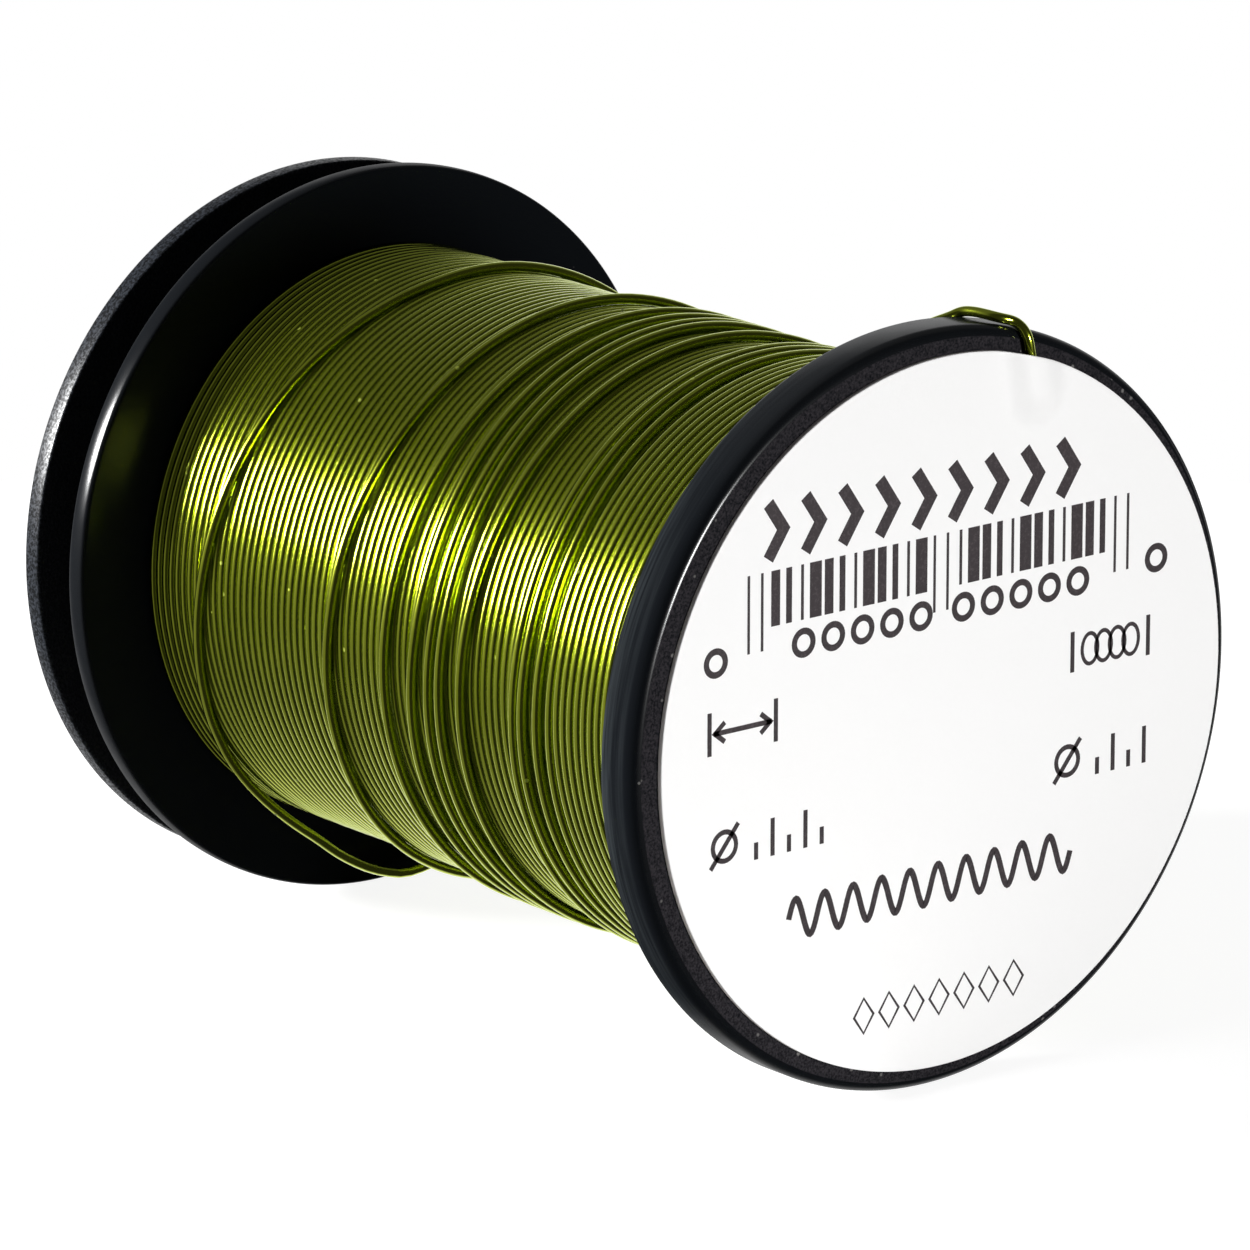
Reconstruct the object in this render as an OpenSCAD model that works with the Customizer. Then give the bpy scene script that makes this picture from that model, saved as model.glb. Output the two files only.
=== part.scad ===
// Wire spool lying on its two flanges, with its axis along Y.
// The label end is at -Y and the lock cap's end at +Y. The origin is on the axis, at mid length.
// All sizes are in millimetres, and angles on the spool are turned from +X towards +Z.

/* [Flanges] */
// Radius of the label flange and of the wire flange
flange_r = 11.1; // [10.2:0.1:14]
// Thickness of the label flange
label_flange_t = 1.5; // [1.2:0.05:3]
// Rounding of the label flange's front edge
front_edge_r = 0.36; // [0.1:0.02:0.6]
// Rounding of the label flange's back edge
back_edge_r = 0.2; // [0.05:0.01:0.3]
// Thickness of the wire flange at the far end of the winding
wire_flange_t = 0.7; // [0.6:0.05:1.5]
// Rounding of the wire flange's two edges
wire_edge_r = 0.25; // [0.05:0.01:0.28]
// Clear length of the drum between the two flanges
winding_l = 24.17; // [20:0.01:40]

/* [Drum] */
// Outer radius of the drum under the wire
drum_r = 8.2; // [8:0.05:8.6]
// Wall of the drum
drum_wall = 1.2; // [1:0.05:1.4]

/* [Hub] */
// Radius of the spindle bore
spindle_r = 3.2; // [2:0.05:3.4]
// Wall of the hub tube round the bore
hub_wall = 1; // [0.8:0.05:1.2]
// Length of the plug ring that holds the drum
plug_l = 3; // [1.5:0.1:6]
// Wall of the plug ring
plug_wall = 1.05; // [0.8:0.05:1.3]
// Gap between the plug ring and the drum
plug_gap = 0.03; // [0.01:0.01:0.06]
// Thickness of the ribs between the hub tube and the plug ring
rib_t = 0.9; // [0.5:0.1:2]

/* [Lock cap] */
// How much smaller the lock cap's radius is than the flanges'
cap_step = 0.3; // [0:0.05:1]
// Thickness of the lock cap's disc
cap_t = 0.65; // [0.5:0.05:1.5]
// Rounding of the lock cap's two edges
cap_edge_r = 0.08; // [0.04:0.01:0.2]
// Open gap between the wire flange and the lock cap
lock_gap = 1.88; // [0.8:0.01:2.4]
// Gap that is left when the cap is pushed home
closed_gap = 0.08; // [0.05:0.01:0.3]
// Length of the snap legs inside the drum, past the wire flange's outer face
leg_l = 4; // [3:0.1:8]
// Wall of the snap legs
leg_wall = 0.9; // [0.6:0.05:1]
// Width of the slots between the snap legs
leg_slot_w = 1.2; // [0.6:0.1:2.5]
// Height of the snap bead over the legs
bead_h = 0.3; // [0.15:0.01:0.4]
// Length of the snap bead
bead_l = 0.6; // [0.4:0.05:1]
// Wall of the collar that slides on the hub tube
collar_wall = 0.7; // [0.5:0.05:0.8]
// Radial clearance of the cap's sliding fits, and the play at its stops
slide_gap = 0.06; // [0.03:0.01:0.1]

/* [Label] */
// How much smaller the paper label's radius is than the flange's
label_margin = 0.68; // [0.4:0.01:1]
// Thickness of the paper label
label_t = 0.18; // [0.1:0.01:0.3]
// How far the label sits off the axis, to the right
label_off_x = 0.2; // [-0.4:0.01:0.4]
// How far the label sits off the axis, upwards
label_off_z = -0.05; // [-0.4:0.01:0.4]

/* [Wire] */
// Diameter of the enamelled wire
wire_d = 0.3; // [0.2:0.01:0.34]
// Clear gap between the return turns where they lie closest
turn_gap = 0.43; // [0.42:0.01:0.5]
// Clear height of the loose loop's lowest point over what the flanges lie on
loop_gap = 0.2; // [0.05:0.01:0.6]
// Height of the tail's arch over the label flange's rim
arch_h = 0.03; // [0:0.01:0.4]
// Length of wire under the label
tuck_l = 1.2; // [0.6:0.1:2]

/* [Hidden] */
$fn = 96;

// Places along the axis, from the label end to the lock cap's end
spool_l = label_flange_t + winding_l + wire_flange_t + lock_gap + cap_t;
front_y = -spool_l / 2;
winding_y0 = front_y + label_flange_t;
winding_y1 = winding_y0 + winding_l;
gap_y0 = winding_y1 + wire_flange_t;
cap_y = gap_y0 + lock_gap;
end_y = cap_y + cap_t;
cap_travel = lock_gap - closed_gap;

// Radii that fit each other
drum_bore_r = drum_r - drum_wall;
cap_r = flange_r - cap_step;
label_r = flange_r - label_margin;
hub_r = spindle_r + hub_wall;
collar_r = hub_r + slide_gap;
leg_r = drum_bore_r - slide_gap;
bead_r = leg_r + bead_h;
groove_r = bead_r + slide_gap;
plug_r = drum_bore_r - plug_gap;

// Ends of the snap legs at rest, where the bead is, and the groove that the bead runs in
leg_y = gap_y0 - leg_l;
groove_y0 = leg_y - cap_travel - slide_gap;
groove_y1 = leg_y + bead_l + slide_gap;

// How deep hubs, rings and ribs run into the solid they stand on
root = 0.5;
rib_root = 0.2;
// How far a cut runs past the solid that it cuts
cut = 1;

// Radii of the wire layers, and the clearance of the wire that lies over something
layer_one_r = drum_r + wire_d;
layer_two_r = layer_one_r + wire_d;
seat = 0.03;
// Angle from one ring of the wound tube to the next, and the radius that keeps its chords clear
ring_step = 15;
turn_r = (layer_two_r + seat + wire_d / 2) / cos(ring_step / 2);
loop_sag = flange_r - loop_gap - wire_d / 2 - turn_r;

plastic_black = [0.03, 0.03, 0.035];
cap_grey = [0.09, 0.09, 0.1];
wire_green = [0.52, 0.58, 0.14];
paper_white = [0.95, 0.95, 0.94];

// --- Helpers ---

// A point at radius r and angle a round the axis, at y along it
function at(r, a, y) = [r * cos(a), y, r * sin(a)];
function unit(v) = v / norm(v);
function tangent(p, i) =
    unit(p[min(i + 1, len(p) - 1)] - p[max(i - 1, 0)]);
// A normal carried along the path, kept square to it
function normals(p, first) =
    [for (i = 0, v = first; i < len(p);
          i = i + 1, v = i < len(p) ? unit(v - (v * tangent(p, i)) * tangent(p, i)) : v)
        unit(v - (v * tangent(p, i)) * tangent(p, i))];

// A tube along a path of points: rings of n corners, closed by flat ends
module tube(path, d, n, first) {
    nv = normals(path, first);
    last = len(path) - 1;
    corners = [for (i = [0 : last], j = [0 : n - 1])
        let (t = tangent(path, i), b = cross(t, nv[i]), a = j * 360 / n)
        path[i] + d / 2 * (nv[i] * cos(a) + b * sin(a))];
    sides = [for (i = [0 : last - 1], j = [0 : n - 1])
        let (a = i * n + j, b = i * n + (j + 1) % n) each [[a, a + n, b], [b, a + n, b + n]]];
    ends = [for (j = [1 : n - 2]) each
        [[0, j, j + 1], [last * n, last * n + j + 1, last * n + j]]];
    polyhedron(points = corners, faces = concat(sides, ends));
}

// A round bar or hole along Y, from y0 to y1
module bar(r, y0, y1) {
    translate([0, y0, 0]) rotate([-90, 0, 0]) cylinder(r = r, h = y1 - y0);
}

module ring(outer, inner, y0, y1) {
    difference() {
        bar(outer, y0, y1);
        bar(inner, y0 - cut, y1 + cut);
    }
}

// A disc along Y with its edges rounded by e0 at y0 and e1 at y1
module rounded_disc(r, y0, y1, e0, e1) {
    t = y1 - y0;
    translate([0, y0, 0]) rotate([-90, 0, 0]) rotate_extrude() union() {
        square([r - max(e0, e1), t]);
        translate([0, e0]) square([r, t - e0 - e1]);
        square([r - e0, t - e1]);
        translate([0, e0]) square([r - e1, t - e0]);
        intersection() {
            square([r, t]);
            translate([r - e0, e0]) circle(r = e0);
        }
        intersection() {
            square([r, t]);
            translate([r - e1, t - e1]) circle(r = e1);
        }
    }
}

// --- Label flange: thick disc, hub tube and plug ring in one ---

module label_flange() {
    rib_l = plug_r - plug_wall - hub_r;
    color(plastic_black) difference() {
        union() {
            rounded_disc(flange_r, front_y, winding_y0, front_edge_r, back_edge_r);
            bar(hub_r, winding_y0 - root, end_y - cap_travel);
            ring(plug_r, plug_r - plug_wall, winding_y0 - root, winding_y0 + plug_l);
            for (a = [90, 210, 330]) rotate([0, -a, 0])
                translate([hub_r - rib_root, winding_y0 - root, -rib_t / 2])
                    cube([rib_l + 2 * rib_root, plug_l + root, rib_t]);
        }
        bar(spindle_r, front_y - cut, end_y + cut);
    }
}

// --- Drum: the tube under the wire, with the thin wire flange ---

module drum() {
    color(plastic_black) difference() {
        union() {
            bar(drum_r, winding_y0, gap_y0 - wire_edge_r);
            rounded_disc(flange_r, winding_y1, gap_y0, wire_edge_r, wire_edge_r);
        }
        bar(drum_bore_r, winding_y0 - cut, gap_y0 + cut);
        bar(groove_r, groove_y0, groove_y1);
    }
}

// --- Lock cap: disc, sliding collar and slotted snap legs ---

module lock_cap() {
    color(cap_grey) difference() {
        union() {
            rounded_disc(cap_r, cap_y, end_y, cap_edge_r, cap_edge_r);
            bar(collar_r + collar_wall, leg_y, cap_y + cap_t / 2);
            difference() {
                union() {
                    ring(leg_r, leg_r - leg_wall, leg_y, cap_y + cap_t / 2);
                    ring(bead_r, leg_r - leg_wall, leg_y, leg_y + bead_l);
                }
                for (a = [45, 135]) rotate([0, -a, 0])
                    translate([-bead_r - cut, leg_y - cut, -leg_slot_w / 2])
                        cube([2 * (bead_r + cut), cap_y - leg_y, leg_slot_w]);
            }
        }
        bar(collar_r, leg_y - cut, end_y + cut);
    }
}

// --- Label: a thin disc with a raised ridge over the tucked wire ---

// The tail crosses the flange's face along this line, given in X and Z, and goes under the label.
// It starts at the rim, at face_a, and runs inwards at an angle to the right
face_a = 73.84;
face_start = flange_r * [cos(face_a), sin(face_a)];
face_dir = [cos(78.6), -sin(78.6)];
face_turn = atan2(face_dir[0], face_dir[1]);
face_y = front_y - wire_d / 2 - seat;
// Where that line meets the label's edge
edge_rel = face_start - [label_off_x, label_off_z];
edge_b = edge_rel * face_dir;
edge_s = -edge_b - sqrt(edge_b * edge_b - edge_rel * edge_rel + label_r * label_r);
function on_face(s) = let (p = face_start + s * face_dir) [p[0], face_y, p[1]];

// A round bar along that line, from s0 to s1
module along_face(r, s0, s1) {
    translate(on_face(s0)) rotate([0, face_turn, 0]) cylinder(r = r, h = s1 - s0);
}

module label() {
    channel_r = wire_d / 2 + seat;
    ridge_r = channel_r + label_t;
    color(paper_white) difference() {
        union() {
            translate([label_off_x, 0, label_off_z]) bar(label_r, front_y - label_t, front_y);
            intersection() {
                translate([label_off_x, 0, label_off_z]) bar(label_r, face_y - ridge_r, front_y);
                union() {
                    along_face(ridge_r, edge_s - cut, edge_s + tuck_l);
                    translate(on_face(edge_s + tuck_l)) sphere(r = ridge_r);
                }
            }
        }
        along_face(channel_r, edge_s - cut, edge_s + tuck_l + seat);
        translate(on_face(edge_s - cut)) rotate([0, face_turn, 0])
            translate([-channel_r, 0, 0]) cube([2 * channel_r, cut, cut + tuck_l + seat]);
    }
}

// --- Wire layers: plain cores under the return turns ---

module wire_first_layer() {
    color(wire_green) ring(layer_one_r, drum_r, winding_y0, winding_y1);
}

module wire_second_layer() {
    color(wire_green) ring(layer_two_r, layer_one_r, winding_y0, winding_y1);
}

// --- Return turns: the top winding, close at the label end and spread towards the far end ---

// The wire leaves the wire flange at start_a and reaches the tail at tail_a
start_a = 385;
tail_a = 130;
full_turns = 17;
// How late along the winding its turns spread out
spread = 11;
// Where round the spool the loose loop hangs, and its half width as an angle
loop_a = 270;
loop_w = 22;
// Radius and points of the bend at the wire flange
bend_r = 0.5;
bend_n = 4;
turns = full_turns + (start_a - tail_a) / 360;
turn_n = turns * 360 / ring_step;
turn_pitch = wire_d + turn_gap;
turn_y0 = winding_y0 + wire_d / 2 + seat;
turn_y1 = winding_y1 - wire_d - bend_r;
spread_l = turn_y1 - turn_y0 - turn_pitch * turns;
last_a = tail_a + 360 * turns;
// The loose loop hangs on the first turn from the wire flange
function loop(a) = loop_sag * exp(-pow((a - last_a + start_a - loop_a) / loop_w, 2));
function turn_point(i) =
    let (t = i * ring_step / 360, a = tail_a + i * ring_step)
    at(turn_r + loop(a), a, turn_y0 + turn_pitch * t + spread_l * pow(t / turns, spread));
// A quarter bend that turns the wire square to the wire flange
function bend_point(k) =
    let (a = last_a + bend_r * sin(90 * k / bend_n) / turn_r * 180 / PI)
    at(turn_r, a, turn_y1 + bend_r * (1 - cos(90 * k / bend_n)));
turn_path = concat(
    [for (i = [0 : turn_n]) turn_point(i)],
    [for (k = [1 : bend_n]) bend_point(k)],
    [bend_point(bend_n) + [0, wire_d, 0]]);

half_turn = 180 / ring_step;
echo(least_gap_of_wire_turns = min([for (i = [0 : turn_n - half_turn - 1])
    for (j = [i + half_turn : min(i + 3 * half_turn, turn_n)])
        norm(turn_path[i] - turn_path[j])]) - wire_d);

module wire_turns() {
    color(wire_green) tube(turn_path, wire_d, 6, at(1, tail_a, 0));
}

// --- Wire tail: up the label flange, over its rim and down under the label ---

rim_r = flange_r + wire_d / 2 + seat;
climb = rim_r - turn_r;
cross_l = face_y - turn_y0;
// Angle, share of the climb to the rim, share of the way across the rim, share of the arch's height
tail_route = [
    [126, 0, 0, 0],
    [118, 0.06, 0, 0],
    [110, 0.2, 0, 0],
    [102, 0.4, 0, 0],
    [95, 0.6, 0, 0],
    [89, 0.74, 0, 0],
    [84.3, 0.82, 0, 0],
    [82.4, 0.86, 0, 0],
    [80.6, 0.905, 0.02, 0],
    [79.4, 0.982, 0.113, 0],
    [78.8, 1, 0.32, 0.8],
    [78.3, 1, 0.5, 1],
    [77.6, 1, 0.65, 0.4]];
// Then it bends round the front edge: angle, and how far round the edge's rounding
corner_route = [[76.5, 8], [75.4, 12], [74.64, 25], [74.2, 38], [73.8, 55], [73.25, 75]];
// Straight length at the tucked end
end_l = 0.3;
function route_point(q) =
    at(turn_r + climb * q[1] + arch_h * q[3], q[0], turn_y0 + cross_l * q[2]);
function corner_point(q) =
    let (r = front_edge_r + wire_d / 2 + seat)
    at(flange_r - front_edge_r + r * cos(q[1]), q[0], front_y + front_edge_r - r * sin(q[1]));
tail_knots = concat(
    [turn_path[0], turn_path[0] - wire_d * tangent(turn_path, 0)],
    [for (q = tail_route) route_point(q)],
    [for (q = corner_route) corner_point(q)],
    [on_face(edge_s), on_face(edge_s + tuck_l - end_l), on_face(edge_s + tuck_l)]);
// A smooth curve through the knots
function curve(p, i, u) =
    let (a = p[max(i - 1, 0)], b = p[i], c = p[i + 1], d = p[min(i + 2, len(p) - 1)])
    b + 0.5 * u * (c - a + u * (2 * a - 5 * b + 4 * c - d + u * (3 * (b - c) + d - a)));
tail_path = concat(
    [for (i = [0 : len(tail_knots) - 2], u = [0, 0.5]) curve(tail_knots, i, u)],
    [tail_knots[len(tail_knots) - 1]]);

module wire_tail() {
    color(wire_green) tube(tail_path, wire_d, 8, at(1, tail_a, 0));
}

label_flange();
drum();
lock_cap();
label();
wire_first_layer();
wire_second_layer();
wire_turns();
wire_tail();
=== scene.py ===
import math

import bpy
import numpy as np
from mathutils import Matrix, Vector


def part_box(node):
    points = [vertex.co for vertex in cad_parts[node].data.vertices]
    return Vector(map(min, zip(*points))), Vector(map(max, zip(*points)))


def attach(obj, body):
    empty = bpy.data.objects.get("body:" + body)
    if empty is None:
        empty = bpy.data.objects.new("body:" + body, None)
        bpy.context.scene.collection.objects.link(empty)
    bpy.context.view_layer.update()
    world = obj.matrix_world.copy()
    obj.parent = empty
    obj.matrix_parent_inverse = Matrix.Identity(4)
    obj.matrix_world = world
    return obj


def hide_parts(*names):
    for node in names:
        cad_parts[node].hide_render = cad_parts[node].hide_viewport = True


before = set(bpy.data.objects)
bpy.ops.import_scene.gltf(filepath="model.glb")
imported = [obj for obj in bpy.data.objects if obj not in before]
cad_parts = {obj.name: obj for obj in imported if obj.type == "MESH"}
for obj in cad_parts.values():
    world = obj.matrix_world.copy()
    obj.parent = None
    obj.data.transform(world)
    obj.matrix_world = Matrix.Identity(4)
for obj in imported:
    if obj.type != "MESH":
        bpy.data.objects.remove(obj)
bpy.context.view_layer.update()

mm = 0.001
pi = math.pi

# what the frame says, in millimetres: the axis runs along Y, and the label end is at -Y
flangeLo, flangeHi = [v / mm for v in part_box("label_flange")]
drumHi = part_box("drum")[1] / mm
capLo, capHi = [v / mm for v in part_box("lock_cap")]
layerLo, layerHi = [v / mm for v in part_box("wire_second_layer")]
labelLo, labelHi = [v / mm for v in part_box("label")]
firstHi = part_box("wire_first_layer")[1] / mm
flangeR, capR = flangeHi.x, capHi.x
frontY, hubEndY = flangeLo.y, flangeHi.y
windY0, windY1, gapY = layerLo.y, layerHi.y, drumHi.y
layerR = layerHi.x
wireR = (layerR - firstHi.x) / 2
drumR = firstHi.x - 2 * wireR
labelX, labelZ = (labelLo.x + labelHi.x) / 2, (labelLo.z + labelHi.z) / 2
labelR = (labelHi.x - labelLo.x) / 2

camera = {
    "place": (-177.27, -217.33, 78.19),
    "lens": 286.0,
    "sensor": 36.0,
    "shift": (0.00934, -0.01572),  # the middle of the frame is right of the axis, and below it
    "clip": (0.01, 10.0),
}


def newObject(name, data):
    made = bpy.data.objects.new(name, data)
    bpy.context.scene.collection.objects.link(made)
    return made


def makeCamera():
    data = bpy.data.cameras.new("camera")
    data.sensor_width = camera["sensor"]
    data.lens = camera["lens"]
    data.shift_x, data.shift_y = camera["shift"]
    data.clip_start, data.clip_end = camera["clip"]
    cam = newObject("camera", data)
    cam.location = Vector(camera["place"]) * mm
    cam.rotation_mode = "QUATERNION"
    cam.rotation_quaternion = (-cam.location).to_track_quat("-Z", "Y")
    bpy.context.scene.camera = cam


makeCamera()
print("camera placed")


# a shape is a closed shell: its points in millimetres, and a list of arrays of faces

def gridFaces(rows, cols, closeRows=False, closeCols=False):
    # quads between neighbouring rows and columns, joined round where the grid closes
    i = np.arange(rows if closeRows else rows - 1)[:, None]
    j = np.arange(cols if closeCols else cols - 1)[None, :]
    below, right = (i + 1) % rows, (j + 1) % cols
    quads = [i * cols + j, i * cols + right, below * cols + right, below * cols + j]
    return np.stack(quads, -1).reshape(-1, 4)


def endFaces(rows, cols):
    # one flat face over the first row of a grid, and one over its last that is turned the other way
    first = np.arange(cols)[None, :]
    return [first[:, ::-1], first + (rows - 1) * cols]


def fan(middle, ring, after):
    # triangles from one point to each edge of a ring, from a point to the one after it
    return np.stack([np.full(len(ring), middle), ring, after], -1)


def turnedOut(points, groups):
    # point . (point x point), summed over a closed shell's faces, is six volumes: if that is negative, the
    # faces turn round
    volume = 0
    for g in groups:
        for k in range(1, g.shape[1] - 1):
            volume += (points[g[:, 0]] * np.cross(points[g[:, k]], points[g[:, k + 1]])).sum()
    return groups if volume > 0 else [g[:, ::-1] for g in groups]


def addPiece(name, shells, finish, body, replaced=(), sharp=35):
    # one mesh of all the shells, in metres; edges that turn by more than the sharp angle stay sharp
    points, groups, count = [], [], 0
    for corners, faces in shells:
        groups += [g + count for g in turnedOut(corners, faces)]
        points.append(corners)
        count += len(corners)
    points = np.concatenate(points) * mm
    loops = np.concatenate([g.ravel() for g in groups]).astype(np.int32)
    sizes = np.concatenate([np.full(len(g), g.shape[1]) for g in groups])
    mesh = bpy.data.meshes.new(name)
    mesh.vertices.add(len(points))
    mesh.vertices.foreach_set("co", points.astype(np.float32).ravel())
    mesh.loops.add(len(loops))
    mesh.loops.foreach_set("vertex_index", loops)
    mesh.polygons.add(len(sizes))
    mesh.polygons.foreach_set("loop_start", (np.cumsum(sizes) - sizes).astype(np.int32))
    mesh.polygons.foreach_set("use_smooth", np.full(len(sizes), True))
    mesh.update(calc_edges=True)
    mesh.validate()
    mesh.set_sharp_from_angle(angle=math.radians(sharp))
    mesh.materials.append(finish)
    piece = newObject(name, mesh)
    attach(piece, body)
    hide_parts(*replaced)
    print(name, "made,", len(sizes), "faces")


def onSpool(radius, angle, along):
    # the point at that radius and angle round the axis, the angle turned from +X towards +Z
    radius, angle, along = np.broadcast_arrays(radius, angle, along)
    return np.stack([radius * np.cos(angle), along, radius * np.sin(angle)], -1)


def unit(v):
    # v divided by its length
    return v / np.linalg.norm(v, axis=-1, keepdims=True)


def outlineOf(*corners):
    # straight lines from corner to corner, each of them (radius, y)
    return np.array(corners, float)


def arc(x, y, radius, a0, a1, steps=6):
    # the points of a circle round (x, y), from a0 to a1 degrees
    a = np.radians(np.linspace(a0, a1, steps + 1))
    return np.stack([x + radius * np.cos(a), y + radius * np.sin(a)], -1)


def lathe(parts, segments=288):
    # the parts join into a closed outline, and each of its points (radius, y) goes once round the axis
    outline = np.concatenate(parts)
    angle = np.arange(segments)[:, None] * 2 * pi / segments
    points = onSpool(outline[None, :, 0], angle, outline[None, :, 1])
    return points.reshape(-1, 3), [gridFaces(segments, len(outline), True, True)]


def sector(outline, a0, a1, segments=24):
    # the same, but only from a0 to a1 degrees, with a flat face on either end
    angle = np.radians(np.linspace(a0, a1, segments))[:, None]
    points = onSpool(outline[None, :, 0], angle, outline[None, :, 1])
    k = len(outline)
    return points.reshape(-1, 3), [gridFaces(segments, k, False, True)] + endFaces(segments, k)


def prism(outline, lift):
    # a flat outline of points in space, and the same outline moved by the lift
    points = np.concatenate([outline, outline + np.array(lift, float)])
    return points, [gridFaces(2, len(outline), False, True)] + endFaces(2, len(outline))


def wireTube(path, outward, section):
    # point + wireR * (cos(angle) * outward + sin(angle) * side), where side = tangent x outward and the section
    # lists the angles, with a fan on each end
    tangent = unit(np.gradient(path, axis=0))
    outward = unit(outward - (outward * tangent).sum(-1, keepdims=True) * tangent)
    side = np.cross(tangent, outward)
    s = np.radians(section)[None, :, None]
    rings = path[:, None] + wireR * (np.cos(s) * outward[:, None] + np.sin(s) * side[:, None])
    n, k = rings.shape[:2]
    points = np.concatenate([rings.reshape(-1, 3), path[:1], path[-1:]])
    ring = np.arange(k)
    after, last = (ring + 1) % k, (n - 1) * k
    ends = [fan(n * k, after, ring), fan(n * k + 1, last + ring, last + after)]
    return points, [gridFaces(n, k, False, True)] + ends


def through(x, knots, values):
    # a cubic between neighbouring knots. Its slope at a knot is the harmonic mean of the slopes on the knot's
    # two sides, and level where they differ in sign, so that nothing overshoots
    step = np.diff(knots)
    slope = np.diff(values) / step
    before, after = slope[:-1], slope[1:]
    inner = np.where(before * after > 0, 2 * before * after / (before + after + 1e-12), 0)
    ends = np.concatenate([slope[:1], inner, slope[-1:]])
    i = np.clip(np.searchsorted(knots, x) - 1, 0, len(step) - 1)
    h, t = step[i], (x - knots[i]) / step[i]
    start = (1 + 2 * t) * (1 - t) ** 2 * values[i] + t * (1 - t) ** 2 * h * ends[i]
    return start + t ** 2 * (3 - 2 * t) * values[i + 1] + t ** 2 * (t - 1) * h * ends[i + 1]


class Link:
    # an output of a shader node: a sum on it adds a Math node
    def __init__(self, shader, socket):
        self.shader, self.socket = shader, socket

    def beside(self, out):
        # another output of the same node
        return Link(self.shader, self.socket.node.outputs[out])

    def math(self, operation, *values):
        return self.shader.node("ShaderNodeMath", {"operation": operation}, dict(enumerate(values)))

    def root(self):
        return self.math("SQRT", self)

    def __add__(self, other):
        return self.math("ADD", self, other)

    def __radd__(self, other):
        return self.math("ADD", other, self)

    def __sub__(self, other):
        return self.math("SUBTRACT", self, other)

    def __rsub__(self, other):
        return self.math("SUBTRACT", other, self)

    def __mul__(self, other):
        return self.math("MULTIPLY", self, other)

    def __rmul__(self, other):
        return self.math("MULTIPLY", other, self)

    def __truediv__(self, other):
        return self.math("DIVIDE", self, other)

    def __gt__(self, other):
        return self.math("GREATER_THAN", self, other)


class Shader:
    # the node tree of a finish or of the world
    def __init__(self, tree):
        self.tree = tree
        tree.nodes.clear()

    def node(self, kind, settings=None, inputs=None, out=0):
        # settings come first, because some of them change which sockets there are
        made = self.tree.nodes.new(kind)
        for key, value in (settings or {}).items():
            setattr(made, key, value)
        for key, value in (inputs or {}).items():
            if isinstance(value, Link):
                self.tree.links.new(value.socket, made.inputs[key])
            else:
                made.inputs[key].default_value = value
        return Link(self, made.outputs[out]) if len(made.outputs) else made

    def point(self):
        # where on the piece, in millimetres
        place = self.node("ShaderNodeTexCoord", out="Object")
        return self.node("ShaderNodeVectorMath", {"operation": "SCALE"}, {0: place, "Scale": 1 / mm})

    def parts(self, vector):
        split = self.node("ShaderNodeSeparateXYZ", inputs={0: vector})
        return [split.beside(k) for k in range(3)]

    def vector(self, x, y, z):
        return self.node("ShaderNodeCombineXYZ", inputs={0: x, 1: y, 2: z})

    def noise(self, point, scale, detail, roughness):
        values = {"Vector": point, "Scale": scale, "Detail": detail, "Roughness": roughness}
        return self.node("ShaderNodeTexNoise", inputs=values)

    def specks(self, point, scale, size, rare):
        # round spots, one in each cell of a Voronoi pattern whose own random number is over the value of rare
        values = {"Vector": point, "Scale": scale, "Randomness": 1.0}
        near = self.node("ShaderNodeTexVoronoi", {"feature": "F1"}, values, out="Distance")
        chance = self.node("ShaderNodeSeparateColor", inputs={0: near.beside("Color")})
        return self.ramp(near, size, size * 0.5) * (chance > rare)

    def ramp(self, value, lo, hi, origin=0.0):
        # 0 at origin + lo and 1 at origin + hi, smooth between them
        values = {0: value, 1: origin + lo, 2: origin + hi, 3: 0.0, 4: 1.0}
        return self.node("ShaderNodeMapRange", {"interpolation_type": "SMOOTHSTEP"}, values)

    def mix(self, factor, *colours):
        a, b = [c if isinstance(c, Link) else (*c, 1) for c in colours]
        return self.node("ShaderNodeMix", {"data_type": "RGBA"}, {0: factor, 6: a, 7: b}, out=2)

    def bump(self, height, distance):
        # height times distance is the real relief, in millimetres
        values = {"Strength": 1.0, "Distance": distance * mm, "Height": height}
        return self.node("ShaderNodeBump", inputs=values)

    def surface(self, values):
        shader = self.node("ShaderNodeBsdfPrincipled", inputs=values)
        self.node("ShaderNodeOutputMaterial", inputs={"Surface": shader})


def newFinish(name):
    finish = bpy.data.materials.new(name)
    finish.use_nodes = True
    return finish, Shader(finish.node_tree)


# in the finishes' settings a noise is its scale, detail and roughness, specks are their scale, size and rarity,
# and a pair says where a change starts and ends

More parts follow.
